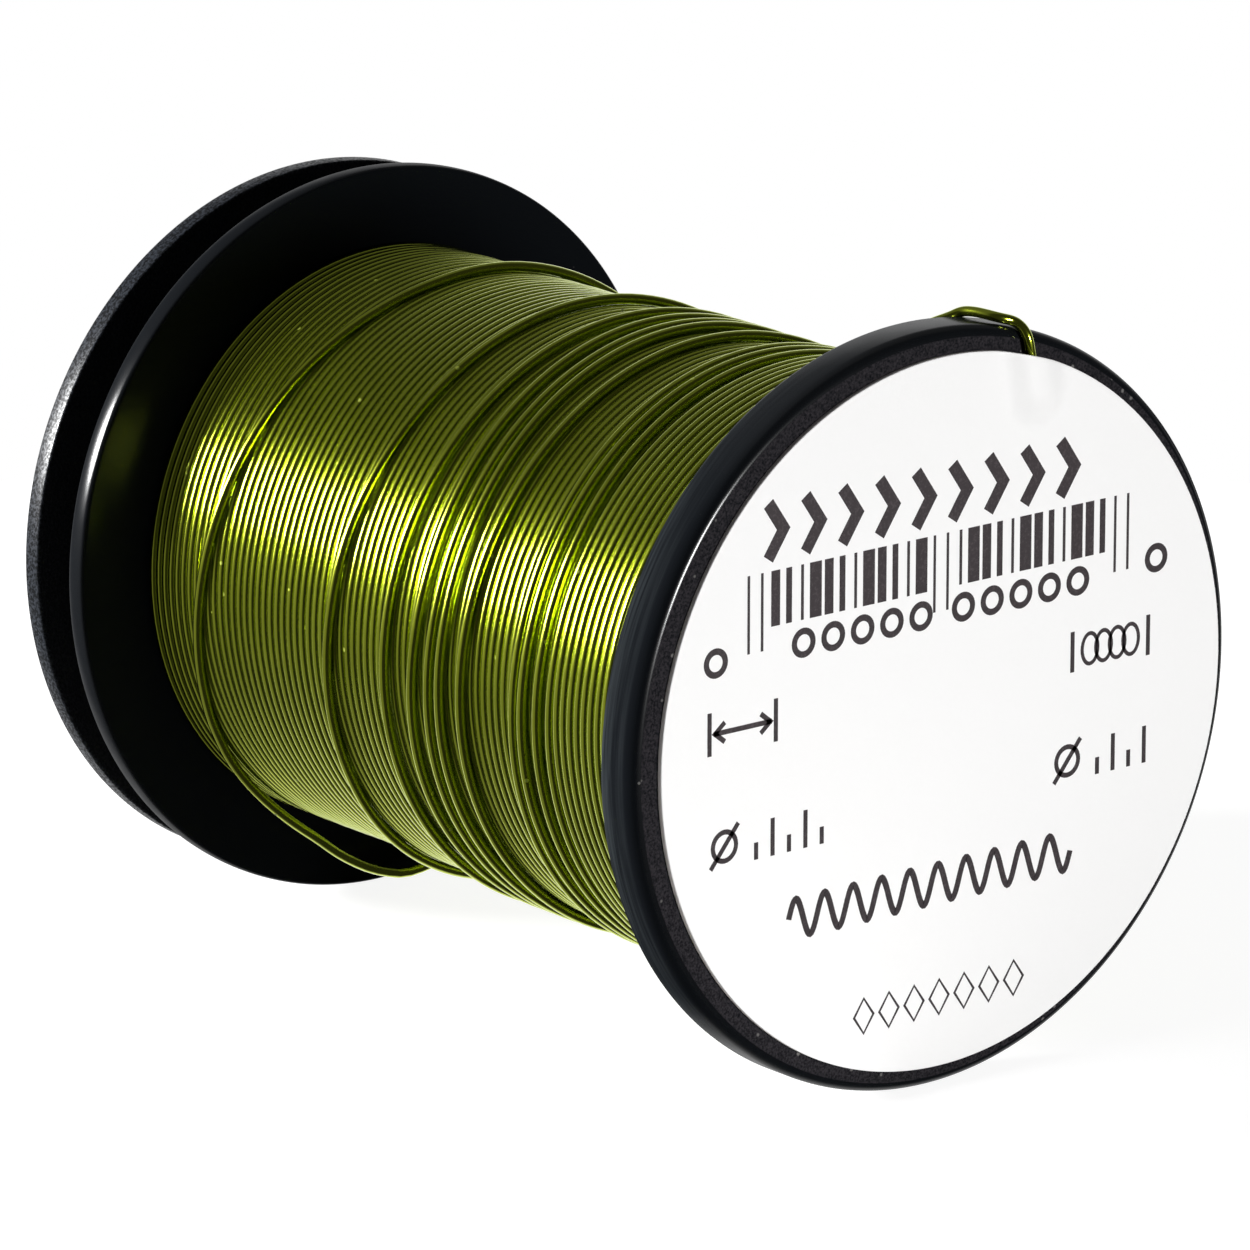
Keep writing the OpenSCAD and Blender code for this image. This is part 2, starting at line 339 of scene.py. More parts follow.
spoolPlastic = {
    "black": (0.0042, 0.0050, 0.0062),
    # the lighter bluish grey of the rim's streaky scuffs and of the painted sheen along its back edge
    "scuffsAndSheen": (0.024, 0.028, 0.031),
    "faceGrey": (0.034, 0.031, 0.035),
    "dust": (0.30, 0.29, 0.28),
    "scratchRound": 2.5,  # the scratches run round the spool: their noise changes slowly round it
    "scratchAlong": 8.0,  # and fast along it
    "scratchNoise": (1.0, 3.0, 0.7),
    "grainNoise": (14.0, 3.0, 0.65),
    "wearNoise": (1.3, 3.0, 0.5),
    "wear": (0.35, 0.75),
    "face": (0.010, 0.002),  # behind the front
    "faceGrain": (0.25, 0.75),
    "rim": (-0.3, -0.05),  # from the flange's radius
    "nearHalf": (0.0, -1.0),  # along the axis
    "scuffNoise": (0.3, 0.7),
    "scuffAndSheenLevel": 0.55,
    "scuffContrast": 0.9,
    "scuffAndSheenFront": (0.35, 0.55),  # behind the front
    "scuffAndSheenFrontShare": 0.35,
    "scuffAndSheenBackFrom": 0.7,  # behind the front, and on to the back edge
    "scuffAndSheenBackShare": 0.65,
    "scuffAndSheenTop": (0.8, 0.4),  # height over radius
    "scuffAndSheenTopShare": 0.3,
    "polish": (0.07, 0.03),  # behind the front
    "dull": (0.70, 0.35),  # of the height over the radius, squared
    "smooth": (0.45, 0.85),
    "innerFace": (0.04, 0.01),  # behind the wire flange's front
    "innerFaceLoss": 0.87,  # of the gloss
    "faceLoss": 0.85,
    "gloss": 0.19,
    "wornGloss": 0.04,
    "smoothGloss": 0.17,
    "coatRough": 0.20,
    "coatIor": 1.9,
    "rough": 0.30,
    "wornRough": 0.08,
    "faceRough": 0.22,
    "faceSpecks": (2.6, 0.2, 0.80),
    "specks": (1.3, 0.07, 0.80),
    "specksShare": 0.8,
    "dustLeast": 0.15,
    "dustGrain": 0.55,
    "scratchDepth": 0.7,  # of the relief
    "grainDepth": 0.15,
    "faceDepth": 1.1,
    "relief": 0.008,
}


def makeSpoolPlastic():
    f = spoolPlastic
    finish, s = newFinish("spoolPlastic")
    p = s.point()
    x, y, z = s.parts(p)
    radius = (x * x + z * z).root()
    slow, fast = f["scratchRound"], f["scratchAlong"]
    scratch = s.noise(s.vector(x / radius * slow, y * fast, z / radius * slow), *f["scratchNoise"])
    grain = s.noise(p, *f["grainNoise"])
    face = s.ramp(y, *f["face"], frontY)
    nearRim = s.ramp(radius, *f["rim"], flangeR) * s.ramp(y, *f["nearHalf"])
    # the rim has streaky scuffs, and a painted sheen lightens it to a bluish grey, most along its back edge and
    # least over its top
    across = f["scuffAndSheenFrontShare"] * s.ramp(y, *f["scuffAndSheenFront"], frontY)
    across = across + f["scuffAndSheenBackShare"] * s.ramp(y, frontY + f["scuffAndSheenBackFrom"], windY0)
    below = f["scuffAndSheenTopShare"] + (1 - f["scuffAndSheenTopShare"]) * s.ramp(z / radius, *f["scuffAndSheenTop"])
    contrast = f["scuffContrast"] * (s.ramp(scratch, *f["scuffNoise"]) - 0.5)
    scuffsAndSheen = nearRim * across * below * (f["scuffAndSheenLevel"] + contrast)
    # only the front of its rounded edge is polished, the left and right of the rim are worn dull, and the top
    # and the bottom are smooth
    polished = s.ramp(y, *f["polish"], frontY) * (1 - face)
    steep = z * z / (radius * radius)
    dull = nearRim * (1 - face) * s.ramp(steep, *f["dull"])
    smooth = nearRim * (1 - face) * s.ramp(steep, *f["smooth"])
    # the front of the wire flange is duller than its rim
    innerFace = s.ramp(y, *f["innerFace"], windY1) * (y > 0)
    gloss = (1 - dull) * (1 - f["faceLoss"] * face) * (1 - f["innerFaceLoss"] * innerFace)
    worn = s.ramp(s.noise(p, *f["wearNoise"]), *f["wear"])
    dust = s.specks(p, *f["faceSpecks"]) * face + s.specks(p, *f["specks"]) * f["specksShare"]
    colour = s.mix(face * s.ramp(grain, *f["faceGrain"]), f["black"], f["faceGrey"])
    # painted sheen: the scuffs and the sheen lighten the rim in one bluish grey
    colour = s.mix(scuffsAndSheen, colour, f["scuffsAndSheen"])
    colour = s.mix(dust * (f["dustLeast"] + f["dustGrain"] * grain), colour, f["dust"])
    coat = (f["gloss"] + f["wornGloss"] * worn) * gloss + polished * dull + f["smoothGloss"] * smooth
    scratches = scratch * nearRim * (1 - face) * f["scratchDepth"]
    s.surface({
        "Base Color": colour,
        "Roughness": f["rough"] + f["wornRough"] * worn + f["faceRough"] * face,
        "Specular IOR Level": 0.0,
        "Coat Weight": coat,
        "Coat Roughness": f["coatRough"],
        "Coat IOR": f["coatIor"],
        "Normal": s.bump(scratches + grain * (f["grainDepth"] + f["faceDepth"] * face), f["relief"]),
    })
    return finish


capPlastic = {
    "dark": (0.006, 0.0065, 0.0075),
    "light": (0.017, 0.020, 0.026),
    "rim": (-0.12, -0.02),  # from the cap's radius
    "grainNoise": (11.0, 2.0, 0.6),
    "pitNoise": (4.0, 2.0, 0.5),
    "pitDepth": 0.5,  # of the relief
    "relief": 0.06,
    "lightGrain": (0.44, 0.58),
    "glossGrain": (0.38, 0.66),
    "gloss": 0.24,
    "grainGloss": 0.54,
    "rough": 0.30,
    "grainRough": 0.24,
    "coatRough": 0.34,
}


def makeCapPlastic():
    f = capPlastic
    finish, s = newFinish("capPlastic")
    p = s.point()
    x, y, z = s.parts(p)
    radius = (x * x + z * z).root()
    grain, pits = s.noise(p, *f["grainNoise"]), s.noise(p, *f["pitNoise"])
    grey = s.mix(s.ramp(grain, *f["lightGrain"]), f["dark"], f["light"])
    s.surface({
        "Base Color": s.mix(s.ramp(radius, *f["rim"], capR), f["dark"], grey),
        "Roughness": f["rough"] + f["grainRough"] * grain,
        "Specular IOR Level": 0.0,
        "Coat Weight": f["gloss"] + f["grainGloss"] * s.ramp(grain, *f["glossGrain"]),
        "Coat Roughness": f["coatRough"],
        "Coat IOR": 1.5,
        "Normal": s.bump(grain + f["pitDepth"] * pits, f["relief"]),
    })
    return finish


wireEnamel = {
    "green": (0.515, 0.610, 0.045),
    "dark": (0.420, 0.500, 0.030),
    "cloudNoise": (0.5, 2.0, 0.5),
    "cloud": (0.3, 0.7),
    "cloudShare": 0.5,
    "fineNoise": (3.0, 2.0, 0.5),
    "fineShare": 0.2,
    "dust": (0.035, 0.035, 0.030),
    "specks": (1.5, 0.11, 0.82),
    "dustShare": 0.6,
    "dustDulls": 0.5,
    "rough": 0.145,
    "fineRough": 0.06,
    "dustRough": 0.4,
    "coat": 0.4,
    "coatRough": 0.10,
    "relief": 0.002,
}


def makeWireEnamel():
    f = wireEnamel
    finish, s = newFinish("wireEnamel")
    p = s.point()
    cloud = s.ramp(s.noise(p, *f["cloudNoise"]), *f["cloud"])
    fine = s.noise(p, *f["fineNoise"])
    dust = s.specks(p, *f["specks"])
    colour = s.mix(cloud * f["cloudShare"] + f["fineShare"] * fine, f["green"], f["dark"])
    s.surface({
        "Base Color": s.mix(dust * f["dustShare"], colour, f["dust"]),
        "Metallic": 1.0 - f["dustDulls"] * dust,
        "Roughness": f["rough"] + f["fineRough"] * fine + f["dustRough"] * dust,
        "Coat Weight": f["coat"],
        "Coat Roughness": f["coatRough"],
        "Coat IOR": 1.5,
        "Normal": s.bump(fine, f["relief"]),
    })
    return finish


labelPaper = {
    "white": (0.93, 0.925, 0.92),
    "fibre": (0.90, 0.895, 0.89),
    "wall": (0.80, 0.70, 0.66),  # the cut edge, and the paper's back
    "wallFrom": (-0.16, -0.13),  # along the axis, from the flange's front
    "wallShare": 0.5,
    "fibreNoise": (8.0, 4.0, 0.6),
    "fibreShare": 0.6,
    "rough": 0.42,
    "fibreRough": 0.12,
    "relief": 0.004,
}


def makeLabelPaper():
    f = labelPaper
    finish, s = newFinish("labelPaper")
    p = s.point()
    y = s.parts(p)[1]
    fibre = s.noise(p, *f["fibreNoise"])
    wall = s.ramp(y, *f["wallFrom"], frontY)
    colour = s.mix(fibre * f["fibreShare"], f["white"], f["fibre"])
    s.surface({
        "Base Color": s.mix(wall * f["wallShare"], colour, f["wall"]),
        "Roughness": f["rough"] + f["fibreRough"] * fibre,
        "Normal": s.bump(fibre, f["relief"]),
    })
    return finish


labelInk = {
    "dark": (0.022, 0.014, 0.017),
    "thin": (0.06, 0.045, 0.05),
    "blotNoise": (12.0, 3.0, 0.6),
    "blot": (0.45, 0.8),
    "rough": 0.45,
    "blotRough": 0.15,
}


def makeLabelInk():
    f = labelInk
    finish, s = newFinish("labelInk")
    blot = s.noise(s.point(), *f["blotNoise"])
    s.surface({
        "Base Color": s.mix(s.ramp(blot, *f["blot"]), f["dark"], f["thin"]),
        "Roughness": f["rough"] + f["blotRough"] * blot,
    })
    return finish


blackFinish = makeSpoolPlastic()
capFinish = makeCapPlastic()
wireFinish = makeWireEnamel()
paperFinish = makeLabelPaper()
inkFinish = makeLabelInk()
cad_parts["wire_first_layer"].data.materials.clear()
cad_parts["wire_first_layer"].data.materials.append(wireFinish)
print("finishes made")


# the label flange: a thick disc, the hub tube and the plug ring in one, and the ribs between these two
flangeMould = {
    "frontRound": 0.36,
    "backRound": 0.2,
    "boreR": 3.2,
    "hubR": 4.2,
    "plugR": 6.97,
    "plugWall": 1.05,
    "plugL": 3.0,
    "ribT": 0.9,
    "ribAngles": (90, 210, 330),
    "ribRoot": 0.2,  # how deep a rib's ends are in the tube and the ring
    "ribFoot": 0.3,  # and its foot in the disc
}


def makeLabelFlange():
    f = flangeMould
    front, back, root, foot = f["frontRound"], f["backRound"], f["ribRoot"], f["ribFoot"]
    hub, inner = f["hubR"], f["plugR"] - f["plugWall"]
    plugEnd = windY0 + f["plugL"]
    outline = [
        outlineOf((f["boreR"], hubEndY), (f["boreR"], frontY)),
        arc(flangeR - front, frontY + front, front, -90, 0, 10),
        arc(flangeR - back, windY0 - back, back, 0, 90, 4),
        outlineOf((f["plugR"], windY0), (f["plugR"], plugEnd), (inner, plugEnd), (inner, windY0)),
        outlineOf((hub, windY0), (hub, hubEndY)),
    ]
    shells = [lathe(outline)]
    for turn in f["ribAngles"]:
        c, s = math.cos(math.radians(turn)), math.sin(math.radians(turn))
        along, across = np.array([c, 0, s]), np.array([-s, 0, c])
        corners = [(hub - root, -1), (inner + root, -1), (inner + root, 1), (hub - root, 1)]
        base = np.array([along * u + across * v * f["ribT"] / 2 for u, v in corners])
        shells.append(prism(base + [0, windY0 - foot, 0], [0, f["plugL"] + foot, 0]))
    addPiece("labelFlange", shells, blackFinish, "spool", ["label_flange"])


# the drum, with the thin wire flange and the groove that the cap's legs snap into
drumMould = {
    "boreR": 7.0,
    "edgeRound": 0.14,
    "crownR": 1.5,  # the rim of the wire flange is slightly crowned between its rounded edges
    "grooveR": 7.3,
    "groove": (6.06, 8.58),  # from and to, along the axis
}


def makeDrum():
    d = drumMould
    e, crown, bore, groove = d["edgeRound"], d["crownR"], d["boreR"], d["grooveR"]
    middle, half = (windY1 + gapY) / 2, (gapY - windY1) / 2
    # the edges' circles touch the crown's from inside, where it leans by asin((half - e) / (crown - e))
    lean = math.asin((half - e) / (crown - e))
    edgeR = flangeR - crown + (crown - e) * math.cos(lean)
    lean = math.degrees(lean)
    g0, g1 = d["groove"]
    outline = [
        outlineOf((bore, windY0), (drumR, windY0), (drumR, windY1)),
        arc(edgeR, windY1 + e, e, -90, -lean),
        arc(flangeR - crown, middle, crown, -lean, lean)[1:-1],
        arc(edgeR, gapY - e, e, lean, 90),
        outlineOf((bore, gapY), (bore, g1), (groove, g1), (groove, g0), (bore, g0)),
    ]
    addPiece("drumAndWireFlange", [lathe(outline)], blackFinish, "spool", ["drum"])


# the lock cap: a disc and its collar, and four snap legs
lockCap = {
    "discT": 0.65,
    "edgeRound": 0.08,
    "collar": (4.26, 4.96),  # inner and outer radius
    "leg": (6.04, 6.94),
    "legAngles": (45, 135, 225, 315),  # where the slots between the legs are
    "legRoot": 0.2,  # how deep a leg is in the disc
    "beadR": 7.24,
    "beadL": 0.6,
    "slot": 1.2,
}


def makeLockCap():
    c = lockCap
    e = c["edgeRound"]
    endY, discY, legY = capHi.y, capHi.y - c["discT"], capLo.y
    (in0, in1), (leg0, leg1) = c["collar"], c["leg"]
    beadEnd, root = legY + c["beadL"], discY + c["legRoot"]
    disc = [
        outlineOf((in0, endY), (in0, legY), (in1, legY), (in1, discY)),
        arc(capR - e, discY + e, e, -90, 0, 4),
        arc(capR - e, endY - e, e, 0, 90, 4),
    ]
    leg = outlineOf((leg0, legY), (c["beadR"], legY), (c["beadR"], beadEnd), (leg1, beadEnd),
                    (leg1, root), (leg0, root))
    half = math.degrees(c["slot"] / 2 / leg1)
    legs = [sector(leg, turn + half, turn + 90 - half) for turn in c["legAngles"]]
    addPiece("lockCap", [lathe(disc)] + legs, capFinish, "cap", ["lock_cap"])


makeLabelFlange()
makeDrum()
makeLockCap()


def wander(turns, seed):
    # a slow and small irregularity along the wire: four sine waves of unrelated lengths
    waves = zip((0.37, 0.83, 1.71, 3.13), (1.0, 0.8, 0.6, 0.4), (0.0, 2.1, 4.4, 1.3))
    return sum(size * np.sin(2 * pi * rate * turns + phase + seed) for rate, size, phase in waves)


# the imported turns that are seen, of which only the outer side is made round
packedTurns = {
    "pitch": 0.3025,
    "endAngle": 330.0,  # where the turns end against the wire flange
    "turnSteps": 120,
    "section": (-100, -78, -56, -34, -12, 12, 34, 56, 78, 100, 140, 180, 220),
    "alongWander": 0.003,
    "radiusWander": 0.0036,
    "radiusWanderDrop": 1.5,  # keeps the wander near or under the layer's radius
}


def makePackedTurns():
    # a helix: along = windY1 - wireR - pitch * turn, at the angle endAngle + 360 * turn, in two pieces
    w = packedTurns
    turnCount = (windY1 - windY0 - 2 * wireR) / w["pitch"]
    middle = round(turnCount / 2)
    for name, t0, t1 in (("packedTurnsFar", 0, middle), ("packedTurnsNear", middle, turnCount)):
        turn = np.arange(t0, t1 + 0.5 / w["turnSteps"], 1 / w["turnSteps"])
        angle = math.radians(w["endAngle"]) + 2 * pi * turn
        along = windY1 - wireR - w["pitch"] * turn + w["alongWander"] * wander(turn, 0.0)
        lower = wander(turn, 2.0) - w["radiusWanderDrop"]
        path = onSpool(layerR - wireR + w["radiusWander"] * lower, angle, along)
        shell = wireTube(path, onSpool(1.0, angle, 0.0), w["section"])
        addPiece(name, [shell], wireFinish, "spool", ["wire_second_layer"], sharp=80)


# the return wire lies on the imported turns, and its strands are placed in millimetres from the label flange
returnWire = {
    "closeTurns": 14,  # turns that lie side by side at the label flange
    "closePitch": 0.3036,
    "seenTurns": 8,
    "strandAngles": (83, 156, 213),
    "closeStrand": (4.73, 4.94),  # the last of the close turns, at the second and third of these angles
    "strands": [
        (5.46, 5.34, 5.57),
        (6.04, 5.99, 6.25),
        (6.46, 6.37, 6.73),
        (8.35, 8.73, 9.10),
        (9.79, 9.74, 10.07),
        (10.28, 10.22, 10.65),
        (11.02, 10.93, 11.51),
        (11.89, 12.30, 12.58),
    ],
    # the last two strands and the loose loop: angle, place, and height over the lying wire
    "looseEnd": [
        [(82, 14.09, 0), (106, 14.16, 0), (124, 14.30, 0), (142, 14.54, 0), (158, 14.79, 0),
         (174, 14.98, 0), (193, 15.26, 0), (208, 15.47, 0), (228, 15.89, 0)],
        [(81, 19.22, 0), (98, 19.25, 0), (110, 19.45, 0), (124, 19.80, 0), (136, 20.14, 0),
         (154, 20.56, 0), (168, 20.90, 0), (183, 21.31, 0), (200, 21.79, 0), (210, 22.10, 0),
         (217, 22.20, 0.06), (233, 22.3, 0.20), (245, 22.45, 0.43), (255, 22.57, 0.91),
         (263, 22.65, 1.32), (270, 22.75, 1.56), (277, 22.85, 1.49), (290, 23.1, 0.83),
         (303, 23.4, 0.18), (316, 23.7, -0.1), (330, 24.02, -0.3)],
    ],
    "sunk": 0.005,  # into the turns that it lies on
    "wander": 0.004,
    "turnSteps": 144,
    "section": tuple(range(0, 360, 24)),
}

# the tail climbs over the flange's rim, bends round its front edge and is tucked under the label
tail = {
    "startAngle": 130.0,
    # angle, share of the climb, share of the way across, share of the arch
    "route": [(126, 0, 0, 0), (118, 0.06, 0, 0), (110, 0.2, 0, 0), (102, 0.4, 0, 0), (95, 0.6, 0, 0),
              (89, 0.74, 0, 0), (84.3, 0.82, 0, 0), (82.4, 0.86, 0, 0), (80.6, 0.905, 0.02, 0),
              (79.4, 0.982, 0.113, 0), (78.8, 1, 0.32, 0.8), (78.3, 1, 0.5, 1), (77.6, 1, 0.65, 0.4)],
    # angle, and turn round the edge
    "corner": [(76.5, 8), (75.4, 12), (74.64, 25), (74.2, 38), (73.8, 55), (73.25, 75)],
    "arch": 0.027,
    "seat": 0.03,
    "faceAngle": 73.84,
    "faceTurn": 78.6,
    "tuckL": 1.2,
    "tuckBend": 0.3,
    "knotSteps": 10,
    "step": 0.03,
    "smooth": 4.0,  # of those steps
    "outward": (-0.5, 0.6, 0.62),  # never close to the wire's own direction, so the section doesn't twist
    "section": tuple(range(0, 360, 18)),
}


def makeReturnWire():
    # the knots are the angle, counted on from turn to turn, the place and the height
    r = returnWire
    closeTurns, seenTurns, (first, second) = r["closeTurns"], r["seenTurns"], r["closeStrand"]
    lowAngle, highAngle = r["strandAngles"][1:]
    knots = [(tail["startAngle"] - 360 * closeTurns, wireR, 0)]
    for k in range(closeTurns - 1, 0, -1):
        along = first - r["closePitch"] * min(k, seenTurns)
        # the turns past the seen ones share what room is left
        if k > seenTurns:
            along = wireR + (along - wireR) * (closeTurns - k) / (closeTurns - seenTurns)
        knots.append((lowAngle - 360 * k, along, 0))
    knots += [(lowAngle, first, 0), (highAngle, second, 0)]
    rows = [[(a, along, 0) for a, along in zip(r["strandAngles"], row)] for row in r["strands"]]
    for k, row in enumerate(rows + r["looseEnd"]):
        knots += [(a + 360 * (k + 1), along, up) for a, along, up in row]
    knots = np.array(knots, float)
    angle = np.arange(knots[0, 0], knots[-1, 0] + 1e-6, 360 / r["turnSteps"])
    along = windY0 + through(angle, knots[:, 0], knots[:, 1])
    radius = layerR + wireR - r["sunk"] + through(angle, knots[:, 0], knots[:, 2])
    turn = np.radians(angle)
    path = onSpool(radius + r["wander"] * wander(angle / 360, 1.0), turn, along)
    shell = wireTube(path, onSpool(1.0, turn, 0.0), r["section"])
    addPiece("returnWire", [shell], wireFinish, "spool", ["wire_turns"], sharp=80)
    return path[:2]


def faceRoute(s):
    # the line across the flange's face: s millimetres in from the rim
    a, turn = math.radians(tail["faceAngle"]), math.radians(tail["faceTurn"])
    x = flangeR * math.cos(a) + s * math.cos(turn)
    z = flangeR * math.sin(a) - s * math.sin(turn)
    return np.array([x, frontY - wireR - tail["seat"], z])


def labelEdge():
    # how far in along that line the label's edge is: where its distance from the label's middle is labelR
    start = faceRoute(0)[[0, 2]] - np.array([labelX, labelZ])
    inward = (faceRoute(1) - faceRoute(0))[[0, 2]]
    b = start @ inward
    return -b - math.sqrt(b * b - start @ start + labelR * labelR)


def catmull(knots, steps):
    # between b and c: b + u/2 (c - a + u (2a - 5b + 4c - d + u (3 (b - c) + d - a)))
    padded = np.concatenate([2 * knots[:1] - knots[1:2], knots, 2 * knots[-1:] - knots[-2:-1]])[:, None]
    a, b, c, d = padded[:-3], padded[1:-2], padded[2:-1], padded[3:]
    u = (np.arange(steps) / steps)[None, :, None]
    path = b + 0.5 * u * (c - a + u * (2 * a - 5 * b + 4 * c - d + u * (3 * (b - c) + d - a)))
    return np.concatenate([path.reshape(-1, 3), knots[-1:]])


def smoothed(path, step, width):
    # points an even step apart, averaged with a bell curve of that width in steps, and mirrored about both ends
    along = np.concatenate([[0], np.cumsum(np.linalg.norm(np.diff(path, axis=0), axis=1))])
    even = np.linspace(0, along[-1], int(along[-1] / step))
    path = np.stack([np.interp(even, along, path[:, k]) for k in range(3)], -1)
    reach = int(3 * width)
    bell = np.exp(-0.5 * (np.arange(-reach, reach + 1) / width) ** 2)
    start, end = 2 * path[:1] - path[reach:0:-1], 2 * path[-1:] - path[-2:-reach - 2:-1]
    padded = np.concatenate([start, path, end])
    return np.stack([np.convolve(padded[:, k], bell / bell.sum(), "valid") for k in range(3)], -1)


def makeWireTail(joined):
    # it goes on from the first two points of the return wire, through knots over the rim and round the edge
    t = tail
    edge, room = flangeMould["frontRound"], wireR + t["seat"]
    rimR, startR = flangeR + room, math.hypot(joined[0, 0], joined[0, 2])
    y0, y1 = joined[0, 1], faceRoute(0)[1]
    angle, climb, across, arch = np.array(t["route"], float).T
    radius = startR + (rimR - startR) * climb + t["arch"] * arch
    over = onSpool(radius, np.radians(angle), y0 + (y1 - y0) * across)
    angle, turn = np.radians(np.array(t["corner"], float)).T
    radius = flangeR - edge + (edge + room) * np.cos(turn)
    corner = onSpool(radius, angle, frontY + edge - (edge + room) * np.sin(turn))
    tuck = labelEdge() + np.array([0, t["tuckL"] - t["tuckBend"], t["tuckL"]])
    tucked = np.array([faceRoute(s) for s in tuck])
    path = catmull(np.concatenate([joined[::-1], over, corner, tucked]), t["knotSteps"])
    path = smoothed(path, t["step"], t["smooth"])
    shell = wireTube(path, np.broadcast_to(t["outward"], path.shape), t["section"])
    addPiece("wireTail", [shell], wireFinish, "spool", ["wire_tail"], sharp=80)


makePackedTurns()
makeWireTail(makeReturnWire())


label = {
    "thickness": 0.18,
    "edgeRound": 0.03,
    "segments": 480,
    "coarseRings": (0.6, 3.2, 10),  # the first one's radius, how far the last is from the edge, and how many
    "fineRings": (3.1, 34),  # how far the first one is from the edge, and how many
    "ridge": 0.35,  # how far the tucked wire lifts the paper
    "ridgeFlat": 0.12,  # half the width of its top
    "ridgeReach": 1.2,  # from the wire's line to where the paper is flat
    "ridgeShort": 0.1,  # how much sooner the top ends than the wire
}


def ridgeHeight(x, z):
    # ridge * n * n * (3 - 2 n), where n falls from 1 on the ridge's top to 0 at its reach
    start, along = faceRoute(0)[[0, 2]], (faceRoute(1) - faceRoute(0))[[0, 2]]
    px, pz = x - start[0], z - start[1]
    s = px * along[0] + pz * along[1]
    across = np.abs(px * along[1] - pz * along[0])
    past = np.maximum(s - labelEdge() - tail["tuckL"] + label["ridgeShort"], 0)
    flat = label["ridgeFlat"]
    near = 1 - np.clip((np.hypot(across, past) - flat) / (label["ridgeReach"] - flat), 0, 1)
    return label["ridge"] * near ** 2 * (3 - 2 * near)


def makeLabel():
    # rings of points from the middle of the front, over the edge, to the middle of the back, and a fan on
    # both poles
    e, paperY = label["edgeRound"], frontY - label["thickness"]
    firstR, coarse, coarseCount = label["coarseRings"]
    fine, fineCount = label["fineRings"]
    inner = np.concatenate([np.linspace(firstR, labelR - coarse, coarseCount),
                            np.linspace(labelR - fine, labelR - e, fineCount)])
    outline = np.concatenate([
        np.stack([inner, np.full(len(inner), paperY)], -1),
        arc(labelR - e, paperY + e, e, -90, 0, 3)[1:],
        arc(labelR - e, frontY - e, e, 0, 90, 3),
        np.stack([inner[::-1], np.full(len(inner), frontY)], -1)[1:],
    ])
    n, k = label["segments"], len(outline)
    angle = np.arange(n)[:, None] * 2 * pi / n
    points = onSpool(outline[None, :, 0], angle, outline[None, :, 1]).reshape(-1, 3)
    points = np.concatenate([points, [[0, paperY, 0], [0, frontY, 0]]]) + [labelX, 0, labelZ]
    points[:, 1] -= ridgeHeight(points[:, 0], points[:, 2])
    ring = np.arange(n) * k
    after = np.roll(ring, -1)
    ends = [fan(n * k, after, ring), fan(n * k + 1, ring + k - 1, after + k - 1)]
    faces = [gridFaces(n, k, True, False)[:, ::-1]] + ends
    addPiece("paperLabel", [(points, faces)], paperFinish, "spool", ["label"], sharp=50)


# plain marks, in millimetres to the right of the axis and above it
labelPrint = {
    "proud": 0.006,
    "sunk": 0.004,
    "stroke": 0.15,
    "loopSides": 28,
    "chevrons": {
        "from": -6.4, "pitch": 1.35, "count": 9, "low": 5.6, "high": 7.2, "reach": 0.55, "stroke": 0.4,
    },
    "comb": {
        "from": -7.1, "pitch": 0.4865, "count": 30, "top": 5.25, "low": 3.65, "narrowest": 0.10, "wider": 0.11,
        "guards": (0, 1, 14, 15, 28, 29), "guardLow": 3.0, "guardWide": 0.09,
    },
    "beads": {
        "from": (-5.1, 0.8), "pitch": 1.08, "count": 5, "middle": 2.98, "size": (0.34, 0.34), "stroke": 0.19,
        "apart": [(-8.28, 2.95), (8.12, 3.15)],
    },
    "wave": {"from": -5.6, "to": 4.95, "count": 10, "middle": -5.0, "height": 0.56, "stroke": 0.2, "steps": 24},
    "lozenges": {
        "from": -2.8, "pitch": 0.94, "count": 7, "middle": -8.4, "size": (0.36, 0.52), "stroke": 0.09,
    },
    # a length with its arrow heads on the left, and the two strokes of the coil on the right
    "lines": [
        [(-8.5, 0.3), (-8.5, 1.55)],
        [(-6.1, 0.3), (-6.1, 1.55)],
        [(-8.35, 0.92), (-6.25, 0.92)],
        [(-7.95, 1.2), (-8.3, 0.92), (-7.95, 0.64)],
        [(-6.65, 1.2), (-6.3, 0.92), (-6.65, 0.64)],
        [(4.95, 0.3), (4.95, 1.5)],
        [(7.85, 0.3), (7.85, 1.5)],
    ],
    "coil": {"from": 5.62, "pitch": 0.52, "count": 4, "middle": 0.9, "size": (0.3, 0.45), "stroke": 0.12},
    # a round section with its line across, and a row of ticks after it: where its middle is, and how many ticks
    "sections": {
        "places": ((-7.95, -2.4, 5), (4.8, -2.3, 4)), "size": (0.42, 0.42), "lineReach": (0.5, 0.6),
        "tickFrom": 1.15, "tickPitch": 0.6, "tickLow": -0.6, "tickHigh": (-0.1, 0.5),
    },
}
inkFront = frontY - label["thickness"] - labelPrint["proud"]
inkBack = frontY - label["thickness"] + labelPrint["sunk"]


def stroke(points, width):
    # a flat ribbon of ink along the points, half the width on either side of them. A corner's side is the sum
    # of its two neighbours' sides over one more than their product, so the ribbon is as wide round the corner
    points = np.array(points, float)
    along = unit(np.diff(points, axis=0))
    side = np.stack([-along[:, 1], along[:, 0]], -1)
    before, after = np.concatenate([side[:1], side]), np.concatenate([side, side[-1:]])
    side = (before + after) / (1 + (before * after).sum(-1, keepdims=True)) * width / 2
    corners = [(points + side, inkFront), (points - side, inkFront), (points - side, inkBack),
               (points + side, inkBack)]
    rings = np.stack([np.stack([c[:, 0], np.full(len(c), y), c[:, 1]], -1) for c, y in corners], 1)
    n = len(points)
    return rings.reshape(-1, 3), [gridFaces(n, 4, False, True)] + endFaces(n, 4)


